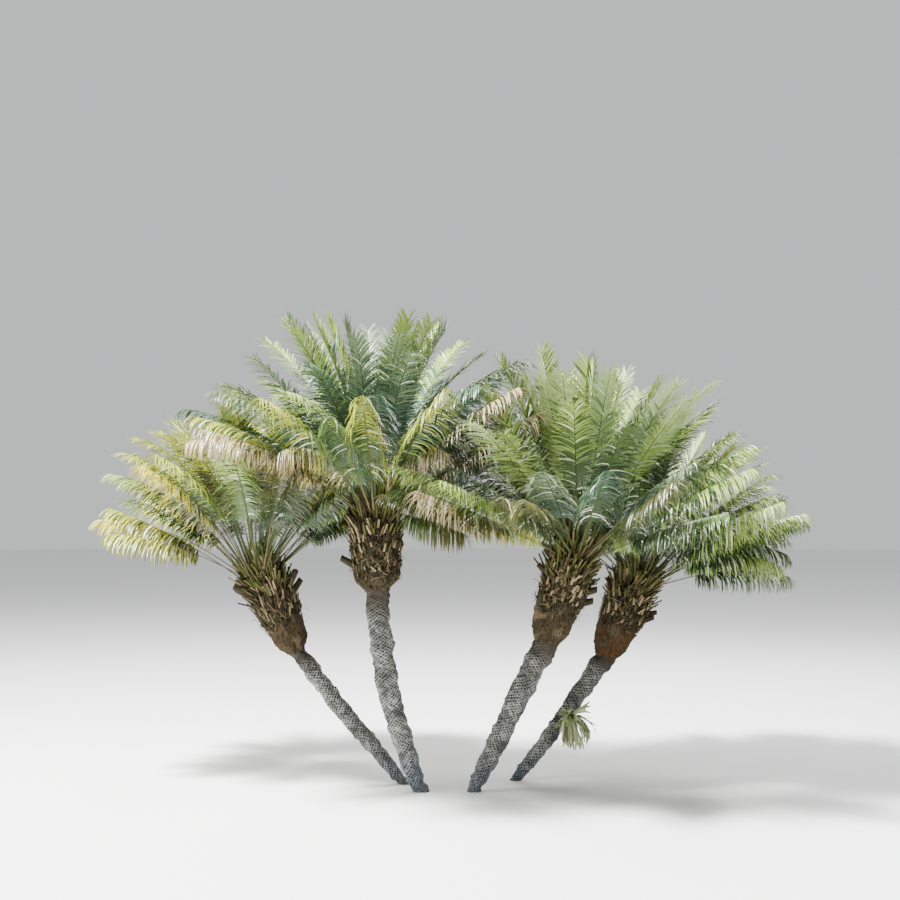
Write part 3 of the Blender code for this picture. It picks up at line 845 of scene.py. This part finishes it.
def bark_tube(stem, sizes):
    """A trunk's bark: a net of ridges round diamond scars, on a tube that bulges a little."""
    length = (Vector(stem.neck) - Vector(stem.foot)).length
    rows = round((length + BELOW_GROUND + 0.02) / sizes.bark_mesh)
    sides = round(2 * pi * stem.waist_radius / sizes.bark_mesh)
    below = -BELOW_GROUND / length
    shares = np.linspace(below, 1 + 0.02 / length, rows + 1)
    centres = np.array([trunk_line(stem, share) for share in shares])
    radii = np.array([trunk_radius(stem, share) for share in shares])
    across, upward = frames_along(centres)
    around_count = round(2 * pi * stem.waist_radius / sizes.scar_width)

    def place(around, along):
        row = np.rint(along * rows).astype(int)
        angle = around * 2 * pi
        run = shares[row] * length
        girth = stem.waist_radius * 14
        ring = np.stack([np.cos(angle) * girth, np.sin(angle) * girth, run * 14], 1)
        warp = rough(ring, (2.2, 0.45), (0.6, 0.9))
        right = around * around_count + run / sizes.scar_height + warp
        left = around * (around_count - 2) - run / sizes.scar_height + warp * 0.8
        edge = np.maximum(np.abs(right % 1 - 0.5), np.abs(left % 1 - 0.5)) * 2
        depth = 0.85 + rough(ring, (4.3, 0.9))
        ridge = 1 - (1 - smooth(edge, 0.42, 0.98)) * np.clip(depth, 0.35, 1)
        swell = rough(ring * (0.5, 0.5, 1.0), (1.1, 1.0)) + rough(ring, (2.4, 0.6))
        radius = radii[row] + sizes.relief * (ridge - 0.6) + sizes.bulge * swell
        outward = across[row] * np.cos(angle)[:, None] + upward[row] * np.sin(angle)[:, None]
        points = centres[row] + outward * radius[:, None]
        return points, {"ridge": ridge, "height": shares[row]}

    mesh = wrapped_tube(rows, sides, place)
    everything = mesh.verts[:] + mesh.edges[:] + mesh.faces[:]
    cut = bmesh.ops.bisect_plane(
        mesh, geom=everything, dist=1e-6, plane_co=(0, 0, 0), plane_no=(0, 0, 1), clear_inner=True
    )
    rim = [item for item in cut["geom_cut"] if isinstance(item, bmesh.types.BMEdge)]
    bmesh.ops.contextual_create(mesh, geom=rim)
    return finished(mesh, f"bark_{stem.name}")


class Step:
    """What every operator does: it hands the settings to its own work."""

    def execute(self, context):
        self.build(context.scene.palm_sizes, context.scene.palm_colours)
        return {"FINISHED"}


class PALM_OT_trunks(Step, bpy.types.Operator):
    """Gives each trunk its bark, in a net of leaf scars"""

    bl_idname = "palm.trunks"
    bl_label = "Trunks"

    def build(self, sizes, colours):
        bark = bark_material(colours)
        for stem in STEMS:
            dress(bark_tube(stem, sizes), [bark], [f"trunk_{stem.name}"])


# ---------- heads


def head_axis(stem):
    """The head's axis and two directions across it."""
    way = (Vector(stem.crown) - Vector(stem.neck)).normalized()
    across = (Vector((1, 0, 0)) - way * way.x).normalized()
    return way, across, way.cross(across)


def head_core(stem, look, sizes):
    """The matted core of a head, with its smoother collar low down."""
    way, across, upward = (np.array(axis) for axis in head_axis(stem))
    ups, radii = (np.array(column) for column in zip(*head_profile(stem)))
    runs = np.concatenate([[0], np.cumsum(np.hypot(np.diff(ups), np.diff(radii)))])
    rows = round(runs[-1] / sizes.head_mesh)
    sides = round(2 * pi * stem.head_radius / sizes.head_mesh)
    length = (Vector(stem.crown) - Vector(stem.neck)).length
    # the solid's profile is straight between its rings, and the real one rounds them off
    even = np.linspace(0, runs[-1], 241)
    kernel = np.hanning(31)
    kernel /= kernel.sum()
    soft_up, soft_radius = (
        np.convolve(np.pad(np.interp(even, runs, kind), 15, "edge"), kernel, "valid")
        for kind in (ups, radii)
    )
    soft_radius[-1] = radii[-1]

    def place(around, along):
        run = along * runs[-1]
        up, radius = np.interp(run, even, soft_up), np.interp(run, even, soft_radius)
        angle = around * 2 * pi
        ring = np.stack([np.cos(angle) * 2.6, np.sin(angle) * 2.6, up * 16], 1)
        share = up / length + rough(ring, (0.8, 0.16))
        collar = 1 - smooth(share, look.collar - 0.06, look.collar + 0.05)
        lumps = rough(ring, (1.2, 0.024), (3.6, 0.012), (9.0, 0.006))
        cloth = rough(ring * (1, 1, 0.5), (7.0, 0.008)) + rough(ring, (13.0, 0.004), (0.7, 0.016))
        relief = blend(lumps, cloth, collar) * np.minimum(1, radius / 0.05)
        radius = radius * blend(0.93, 1.0, collar) + relief
        outward = np.cos(angle)[:, None] * across + np.sin(angle)[:, None] * upward
        points = np.array(stem.neck) + up[:, None] * way + outward * radius[:, None]
        return points, {"collar": collar}

    return finished(wrapped_tube(rows, sides, place), f"head_core_{stem.name}")


def old_base_shape():
    """One cut leaf base, 1 long: flat, narrowing, hollow on top and cut off at its end."""
    mesh = bmesh.new()
    bmesh.ops.create_cube(mesh, size=1.0, matrix=Matrix.Translation((0, 0, 0.5)))
    bmesh.ops.subdivide_edges(mesh, edges=edges_along(mesh, 2), cuts=2)
    bmesh.ops.subdivide_edges(mesh, edges=edges_along(mesh, 0), cuts=1)
    for vert in mesh.verts:
        share = vert.co.z
        vert.co.x *= blend(1.0, 0.62, share)
        vert.co.y *= blend(1.0, 0.7, share)
        vert.co.y += 0.35 * share * share
        if abs(vert.co.x) < 0.01:
            vert.co.y -= 0.30
    ends = np.array([face.calc_center_median().z > 0.99 for face in mesh.faces])
    return (*shape_arrays(mesh), ends)


def thread_shape():
    """A thin thread, 1 long and 1 thick."""
    mesh = bmesh.new()
    bmesh.ops.create_cone(mesh, segments=3, radius1=0.5, radius2=0.2, depth=1.0)
    bmesh.ops.subdivide_edges(mesh, edges=edges_along(mesh, 2), cuts=5)
    for vert in mesh.verts:
        vert.co.z += 0.5
    return shape_arrays(mesh)


class HeadWall:
    """Places on the side of a head, for what grows there."""

    def __init__(self, stem):
        self.way, self.across, self.upward = head_axis(stem)
        self.neck = Vector(stem.neck)
        self.ups, self.radii = zip(*head_profile(stem))
        self.length = (Vector(stem.crown) - self.neck).length

    def place(self, angle, up, sunk, lean, aside, size):
        """The matrix of a shape that stands on the wall. sunk is how deep its foot is, lean how
        far it points out, and aside how far it points to one side, in degrees."""
        out = self.across * cos(angle) + self.upward * sin(angle)
        foot = self.neck + self.way * up + out * np.interp(up, self.ups, self.radii) * sunk
        lean, aside = radians(lean), radians(aside)
        side = self.way.cross(out)
        way = (self.way * cos(aside) + side * sin(aside)) * cos(lean)
        return facing(foot, way + out * sin(lean), side, size)


def old_bases(stem, look, sizes):
    """The old leaf bases, cut stubs and loose fibres that cover a head above its collar."""
    chance = random.Random(f"bases {stem.name}")
    uniform, choices = chance.uniform, chance.choices
    wall = HeadWall(stem)
    points, faces, ends = old_base_shape()
    matrices, tints = [], []
    for number in range(sizes.old_bases):
        share = (number + 0.5) / sizes.old_bases
        angle = radians(number * SPIRAL_STEP + uniform(-14, 14))
        up = blend(look.collar + 0.02, 1.1, share**0.95) * wall.length + uniform(-0.012, 0.012)
        lean = blend(14, 34, share) * uniform(0.3, 1.4)
        reach = sizes.base_length * blend(look.scale, 1.2, share) * uniform(0.6, 1.3)
        width = sizes.base_width * look.width * uniform(0.65, 1.3)
        size = (width, width * 0.45, reach)
        matrices.append(wall.place(angle, up, 0.93, lean, chance.gauss(0, 17), size))
        tints.append(choices(range(3), (6, 4, 3) if share < 0.7 else (5, 5, 2))[0])
    standing = []
    for _ in range(sizes.standing):
        share = chance.random()
        up = blend(0.72, 1.12, share) * wall.length
        lean = blend(50, 14, share) * uniform(0.6, 1.3)
        reach = sizes.standing_length * blend(0.6, 1.25, share) * uniform(0.7, 1.2)
        size = (sizes.base_width * uniform(0.6, 1.0), sizes.base_width * 0.5, reach)
        angle = uniform(0, 2 * pi)
        sunk = uniform(0.6, 0.95)
        matrices.append(wall.place(angle, up, sunk, lean, chance.gauss(0, 8), size))
        standing.append(choices(range(4), (2, 2, 1, 6))[0])
    cut = [chance.choice((1, 2, 2)) for _ in tints] + standing
    tints += standing
    for turn, share in look.stubs:
        reach = uniform(0.085, 0.115) * blend(0.40, 1.0, look.scale)
        size = (uniform(0.040, 0.060), uniform(0.026, 0.036), reach)
        lean, aside = uniform(45, 75), uniform(-25, 25)
        matrices.append(wall.place(radians(turn), share * wall.length, 0.84, lean, aside, size))
        tints.append(0)
        cut.append(chance.choice((0, 1)))
    worn = np.repeat(np.array(tints)[:, None], len(faces), axis=1)
    worn[:, ends] = np.array(cut)[:, None]
    heap = Heap()
    heap.add(placed_copies(points, matrices), faces, worn)
    points, faces = thread_shape()
    matrices, tints, curls = [], [], []
    for _ in range(sizes.fibres):
        up = blend(look.collar * 0.8, 1.0, chance.random() ** 1.3) * wall.length
        reach = uniform(0.03, 0.10)
        thick = uniform(0.0016, 0.0042)
        lean, aside = uniform(0, 15), chance.gauss(0, 50)
        size = (thick, thick, reach)
        matrices.append(wall.place(uniform(0, 2 * pi), up, 0.97, lean, aside, size))
        curls.append([chance.gauss(0, 1) * reach * 0.2 for _ in range(3)])
        tints.append(choices(range(3), (3, 4, 4))[0])
    arch = np.sin(points[:, 2] * pi * 1.1)
    copies = placed_copies(points, matrices) + arch[None, :, None] * np.array(curls)[:, None]
    heap.add(copies, faces, tints)
    return heap.made(f"leaf_bases_{stem.name}")


class PALM_OT_heads(Step, bpy.types.Operator):
    """Builds the heads: a matted core with its collar, old leaf bases and loose fibres"""

    bl_idname = "palm.heads"
    bl_label = "Heads of old leaf bases"

    def build(self, sizes, colours):
        bases = tint_materials(BASE_TINTS, colours, 0.85, Specular_IOR_Level=DULL)
        for stem, look in zip(STEMS, HEADS):
            node, core = f"head_{stem.name}", head_core(stem, look, sizes)
            dress(core, [fibre_material(look, colours)], [node])
            dress(old_bases(stem, look, sizes), bases, [node])


# ---------- crowns


def stalk_copies(fronds, sizes):
    """The stalks and ribs of a crown's fronds as one row of points each: six-sided, broad at
    the foot, flattened, and tapering to the tip."""
    mesh = bmesh.new()
    bmesh.ops.create_cone(mesh, segments=6, radius1=1.0, radius2=1.0, depth=1.0, cap_ends=True)
    bmesh.ops.subdivide_edges(mesh, edges=edges_along(mesh, 2), cuts=sizes.stalk_rings)
    points, faces = shape_arrays(mesh)
    share = points[:, 2] + 0.5
    steps = share * RIB_STEPS
    girth = blend(sizes.stalk_width / 2, 0.0012, share**0.8)
    girth = girth * (1 + 1.1 * np.exp(-share * 22))
    rows = []
    for frond in fronds:
        centres, ways, across = (np.array(part) for part in frond.rib())
        before = np.minimum(steps.astype(int), RIB_STEPS - 1)
        part = (steps - before)[:, None]
        centre = centres[before] * (1 - part) + centres[before + 1] * part
        sideways = across * (points[:, :1] * girth[:, None])
        up = np.cross(ways[before], across) * (points[:, 1:2] * girth[:, None] * 0.62)
        rows.append(centre + sideways + up)
    return np.array(rows), faces


def spine_copies(fronds, sizes):
    """The thin spines on each side of the bare stalks."""
    mesh = bmesh.new()
    bmesh.ops.create_cone(mesh, segments=3, radius1=1.0, radius2=0.0, depth=1.0, cap_ends=True)
    for vert in mesh.verts:
        vert.co.z += 0.5
    points, faces = shape_arrays(mesh)
    matrices, owners = [], []
    for owner, frond in enumerate(fronds):
        chance = random.Random(f"spines {frond.seed}")
        bare = BARE_SHARES[frond.stem.name]
        centres, ways, across = frond.rib()
        for number in range(sizes.spine_pairs):
            share = blend(0.07, bare, (number + 0.5) / sizes.spine_pairs)
            place = round(share * RIB_STEPS + chance.uniform(-0.4, 0.4))
            for side in (-1, 1):
                way = ways[place] * chance.uniform(0.5, 1.0) + across * side
                reach = sizes.spine_length * blend(0.5, 1.3, share / bare)
                reach *= chance.uniform(0.7, 1.2)
                size = (0.0014, 0.0014, reach)
                matrices.append(facing(centres[place], way, DOWN, size))
                owners.append(owner)
    return placed_copies(points, matrices), faces, owners


def leaf_grid(columns, rows):
    """A leaf spread flat: how far across each point is, from -1 to 1, and how far along."""
    mesh = bmesh.new()
    bmesh.ops.create_grid(mesh, x_segments=columns, y_segments=rows, size=1.0)
    for vert in mesh.verts:
        vert.co.y = (vert.co.y + 1) / 2
    return mesh


def leaflet_shape():
    """A leaflet spread flat, with a row of points at each of its stops and a sharp point."""
    mesh, last = leaf_grid(2, 5), 5
    for vert in mesh.verts:
        row = round(vert.co.y * last)
        vert.co.y = LEAFLET_STOPS[row]
        if row == last:
            vert.co.x = 0
    bmesh.ops.remove_doubles(mesh, verts=mesh.verts, dist=1e-5)
    return shape_arrays(mesh)


def leaflet_rows(frond, sizes):
    """For each leaflet of a frond: foot, way out, way across, way up, length, width and bend."""
    chance = random.Random(f"leaflets {frond.seed}")
    centres, ways, across = frond.rib()
    droop, lift = blend(YOUNG_DROOP, OLD_DROOP, frond.age), blend(YOUNG_LIFT, 0.0, frond.age)
    opened = blend(0.70, 1.0, min(1, frond.age * 1.6)) if frond.age > SPEAR_AGE else SPEAR_OPENED
    dry = OWN_TINTS.get(frond.seed, ("",))[0] == "tan"
    rows = []
    pairs = sizes.leaf_pairs
    for pair in range(pairs):
        share = (pair + 0.5) / pairs
        steps = blend(BARE_SHARES[frond.stem.name], 0.995, share) * RIB_STEPS
        before = min(int(steps), RIB_STEPS - 1)
        foot = centres[before].lerp(centres[before + 1], steps - before)
        way = ways[before]
        rise = way.cross(across)
        rise = rise if rise.z > 0 else -rise
        reach = sizes.leaflet_length * sqrt(4 * (0.07 + 0.84 * share) * (0.93 - 0.84 * share))
        reach *= blend(0.80, 1.04, frond.age)
        for side in (-1, 1):
            splay = blend(FIRST_SPLAY, LAST_SPLAY, share) * opened + chance.gauss(0, 4.5)
            splay = radians(splay)
            out = way * cos(splay) + across * side * sin(splay)
            out += rise * (lift + chance.gauss(0, 0.07)) + DOWN * droop * chance.uniform(0.8, 1.15)
            out.normalize()
            broad = (way - out * way.dot(out)).normalized()
            top = out.cross(broad)
            top = top if top.dot(rise) > 0 else -top
            length = reach * chance.uniform(0.86, 1.06)
            width = sizes.leaflet_width * chance.uniform(0.85, 1.12) * blend(1.0, 0.75, share)
            width *= DRY_WIDTH if dry else 1.0
            bend = radians(blend(YOUNG_HANG, OLD_HANG, frond.age)) * chance.uniform(0.65, 1.3)
            rows.append((foot, out, broad, top, (length, width, bend)))
    return rows


def leaflet_copies(rows, sizes):
    """The points of every leaflet: folded along its midrib, broadest near its foot and bending
    down in an arc to its point."""
    flat, faces = leaflet_shape()
    across, along = flat[:, 0], flat[:, 1]
    outline = np.interp(along, LEAFLET_STOPS, LEAFLET_OUTLINE)
    foot, out, broad, top, numbers = (np.array([row[k] for row in rows]) for k in range(5))
    length, width, bend = numbers.T
    half = width[:, None] / 2 * outline[None]
    turned = bend[:, None] * along[None]
    ahead = np.sin(turned) * (length / bend)[:, None]
    under = (1 - np.cos(turned)) * (length / bend)[:, None]
    down = np.array(DOWN) - out * (out @ np.array(DOWN))[:, None]
    points = foot[:, None] + out[:, None] * ahead[..., None] + down[:, None] * under[..., None]
    points += broad[:, None] * (half * across[None])[..., None]
    points += top[:, None] * (half * np.abs(across)[None] * sizes.fold)[..., None]
    far_faces = np.array([along[face].mean() > 0.55 for face in faces])
    return points, faces, far_faces


class PALM_OT_crowns(Step, bpy.types.Operator):
    """Grows the crowns: stalks with their spines, and every leaflet, in tints dealt by frond"""

    bl_idname = "palm.crowns"
    bl_label = "Crowns of fronds"

    def build(self, sizes, colours):
        leaf = tint_materials(LEAF_TINTS, colours, 0.30, "leaf_", Specular_IOR_Level=0.40)
        stalk = tint_materials(STALK_TINTS, colours, 0.7, Specular_IOR_Level=0.25)
        fronds = spread_fronds(sizes.extra_fronds)
        for stem in STEMS:
            own = [frond for frond in fronds if frond.stem == stem]
            nodes = [f"fronds_{stem.name}_{row + 1}" for row in range(SPIRAL_ROWS)]
            heap = Heap()
            points, faces = stalk_copies(own, sizes)
            worn = np.array([0 if f.age < 0.55 else 1 if f.age < 0.93 else 2 for f in own])
            heap.add(points, faces, worn)
            points, faces, owners = spine_copies(own, sizes)
            heap.add(points, faces, worn[owners])
            dress(heap.made(f"stalks_{stem.name}"), stalk, nodes)
            rows = [row for frond in own for row in leaflet_rows(frond, sizes)]
            points, faces, far_faces = leaflet_copies(rows, sizes)
            tints = [leaflet_tints(frond, sizes.leaf_pairs, far_faces) for frond in own]
            heap = Heap()
            heap.add(points, faces, np.concatenate(tints))
            dress(heap.made(f"leaflets_{stem.name}"), leaf, nodes)


# ---------- tuft


def tuft_piece(stem, sizes):
    """The tuft of strap leaves that grows on a trunk: forked straps that fan out and hang."""
    chance = random.Random("straps")
    uniform = chance.uniform
    out = Vector(TUFT_FACING).normalized()
    middle = trunk_line(stem, TUFT_SHARE) + out * (trunk_radius(stem, TUFT_SHARE) + TUFT_CORE * 0.4)
    middle.z += 0.012
    flat, faces = shape_arrays(leaf_grid(4, 8))
    across, along = flat[:, 0], flat[:, 1]
    fork = np.clip((along - 0.70) / 0.30, 0, 1)
    outline = np.interp(along, (0, 0.25, 0.6, 0.85, 1), (0.4, 0.75, 1.0, 1.2, 1.0))
    copies, tints = [], []
    for number in range(sizes.straps):
        turn = 2 * ((number * 0.618) % 1) - 1
        swing = radians(175 * turn + uniform(-12, 12))
        way = Matrix.Rotation(swing, 3, out) @ DOWN + out * uniform(0.2, 1.3)
        rising = max(0.0, abs(turn) - 0.55) / 0.45
        way += Vector((-1.1, -0.4, 0.3)) * rising
        way.normalize()
        side = way.cross(DOWN).normalized()
        twist = Matrix.Rotation(uniform(-1.1, 1.1), 3, way)
        broad, top = twist @ side, twist @ side.cross(way)
        length = blend(0.230, 0.150, abs(turn)) * uniform(0.7, 1.08)
        width = sizes.strap_width * uniform(0.75, 1.25)
        prongs = np.sign(across) * fork * uniform(0.3, 0.9) * (np.abs(across) > 0.3)
        shift = (across * outline + prongs) * width / 2
        run = along * (1 - 0.16 * fork * (np.abs(across) < 0.3))
        bend = radians(uniform(35, 120) * (1 - 0.6 * rising))
        ahead, under = np.sin(run * bend) / bend, (1 - np.cos(run * bend)) / bend
        down = DOWN - way * way.dot(DOWN)
        curl = np.sin(along * pi * uniform(0.6, 1.6)) * uniform(-0.012, 0.012)
        points = np.array(middle) + length * (np.outer(ahead, way) + np.outer(under, down))
        points += np.outer(shift, broad) + np.outer(curl, top)
        copies.append(points)
        tints.append(chance.choices((0, 1, 2), (6, 3, 1))[0])
    heap = Heap()
    heap.add(np.array(copies), faces, tints)
    nest = bmesh.new()
    bmesh.ops.create_icosphere(nest, subdivisions=4, radius=1.0)
    points, faces = shape_arrays(nest)
    lumps = 1 + rough(points, (2.2, 0.35), (6.0, 0.15))
    heap.add((np.array(middle) + points * lumps[:, None] * TUFT_CORE)[None], faces, [3])
    piece = heap.made("straps_tuft")
    shell = piece.modifiers.new("thickness", "SOLIDIFY")
    shell.thickness = 0.002
    return piece


class PALM_OT_tuft(Step, bpy.types.Operator):
    """Builds the tuft of forked strap leaves on the outer right trunk"""

    bl_idname = "palm.tuft"
    bl_label = "Tuft of strap leaves"

    def build(self, sizes, colours):
        worn = tint_materials(STRAP_TINTS, colours, 0.6)
        worn.append(plain_material("nest", colours.base_dark, 0.95))
        dress(tuft_piece(STEMS[-1], sizes), worn, ["tuft_outer_right"])


# ---------- stage


CAMERA_PLACE = (0.16, -8.0, 1.5)
CAMERA_PITCH = 92.6
LIT_POINT = Vector((0.1, 0, 1.4))
# Each light's name, place, size and share of the key's power
LIGHTS = (("key", (-3.6, -2.6, 9.0), 1.4, 1.0), ("back", (3.5, 5.5, 7.0), 3.0, 0.12))


class PALM_OT_stage(Step, bpy.types.Operator):
    """Sets the pale floor, the soft lights, the sky and the camera"""

    bl_idname = "palm.stage"
    bl_label = "Stage"

    def build(self, sizes, colours):
        scene = bpy.context.scene
        mesh = bmesh.new()
        bmesh.ops.create_circle(mesh, cap_ends=True, radius=60.0, segments=96)
        floor = finished(mesh, "floor")
        floor.data.materials.append(plain_material("pale_floor", (0.86, 0.86, 0.85), 0.9))
        world = bpy.data.worlds.new("soft_sky")
        scene.world = world
        world.use_nodes = True
        sky = world.node_tree.nodes["Background"].inputs
        sky["Color"].default_value = (0.97, 0.985, 1.0, 1)
        sky["Strength"].default_value = sizes.sky
        for name, spot, size, share in LIGHTS:
            light = bpy.data.lights.new(name, "AREA")
            light.size, light.energy = size, sizes.key * share
            lamp = linked(name, light)
            lamp.location = spot
            aim = (LIT_POINT - Vector(spot)).to_track_quat("-Z", "Y")
            lamp.rotation_euler = aim.to_euler()
        camera = linked("camera", bpy.data.cameras.new("camera"))
        camera.location = CAMERA_PLACE
        camera.rotation_euler = (radians(CAMERA_PITCH), 0, 0)
        camera.data.sensor_width = 36.0
        camera.data.lens = sizes.lens
        scene.camera = camera


# ---------- settings and panel


def titled(name):
    """A setting's name as a user reads it."""
    return name.replace("_", " ").capitalize()


# Sizes and counts, and what each one measures
SIZES = {
    "bark_mesh": (0.0034, "Size of the bark's faces"),
    "scar_width": (0.0225, "Leaf scars, round the trunk"),
    "scar_height": (0.0180, "Leaf scars, up the trunk"),
    "relief": (0.0048, "How far the ridges stand out"),
    "bulge": (0.015, "How far the trunk swells and narrows"),
    "head_mesh": (0.0065, "Size of the faces of a head's core"),
    "old_bases": (320, "On each head"),
    "base_length": (0.058, "An old leaf base"),
    "base_width": (0.0165, "An old leaf base"),
    "standing": (170, "Round each head's top"),
    "standing_length": (0.135, "A leaf base that still stands"),
    "fibres": (300, "Loose threads on each head"),
    "extra_fronds": (44, "Between the solids' own"),
    "leaf_pairs": (72, "On each frond"),
    "leaflet_length": (0.190, "The longest, half-way up a frond"),
    "leaflet_width": (0.0102, "At its broadest"),
    "fold": (0.45, "How far leaflets fold up"),
    "stalk_width": (0.0115, "Just above the foot"),
    "stalk_rings": (16, "Along each stalk"),
    "spine_pairs": (9, "On each bare stalk"),
    "spine_length": (0.030, "Half-way up the bare stalk"),
    "straps": (46, "Leaves of the tuft"),
    "strap_width": (0.022, "A leaf of the tuft"),
    "sky": (0.7, "Strength of the soft sky"),
    "key": (6600.0, "Power of the key light"),
    "lens": (58.16, "Focal length"),
}


class PalmSizes(bpy.types.PropertyGroup):
    """Sizes and counts that a user would change"""

    __annotations__ = {
        name: (IntProperty if isinstance(value, int) else FloatProperty)(
            name=titled(name), description=description, default=value, min=0
        )
        for name, (value, description) in SIZES.items()
    }


class PalmColours(bpy.types.PropertyGroup):
    """Colours of the bark, the heads and the leaves"""

    __annotations__ = {
        name: FloatVectorProperty(name=titled(name), default=value, size=3, subtype="COLOR")
        for tints in (BARK_AND_FIBRE, BASE_TINTS, STALK_TINTS, LEAF_TINTS, STRAP_TINTS)
        for name, value in tints.items()
    }


PIECES = (PALM_OT_trunks, PALM_OT_heads, PALM_OT_crowns, PALM_OT_tuft, PALM_OT_stage)
SETTINGS = {"palm_sizes": PalmSizes, "palm_colours": PalmColours}


class PALM_PT_looks(bpy.types.Panel):
    """Lists the pieces and their settings"""

    bl_idname = "PALM_PT_looks"
    bl_label = "Pygmy date palm"
    bl_space_type = "VIEW_3D"
    bl_region_type = "UI"
    bl_category = "Palm"

    def draw(self, context):
        for operator in PIECES:
            self.layout.operator(operator.bl_idname)
        for name, group in SETTINGS.items():
            box = self.layout.box()
            for setting in group.__annotations__:
                box.prop(getattr(context.scene, name), setting)


def register():
    for item in (*SETTINGS.values(), *PIECES, PALM_PT_looks):
        bpy.utils.register_class(item)
    for name, group in SETTINGS.items():
        setattr(bpy.types.Scene, name, PointerProperty(type=group))


def unregister():
    for name in SETTINGS:
        delattr(bpy.types.Scene, name)
    for item in (PALM_PT_looks, *reversed(PIECES), *reversed(SETTINGS.values())):
        bpy.utils.unregister_class(item)


def main():
    register()
    for piece in PIECES:
        getattr(bpy.ops.palm, piece.bl_idname.split(".")[1])()


if __name__ == "__main__":
    main()
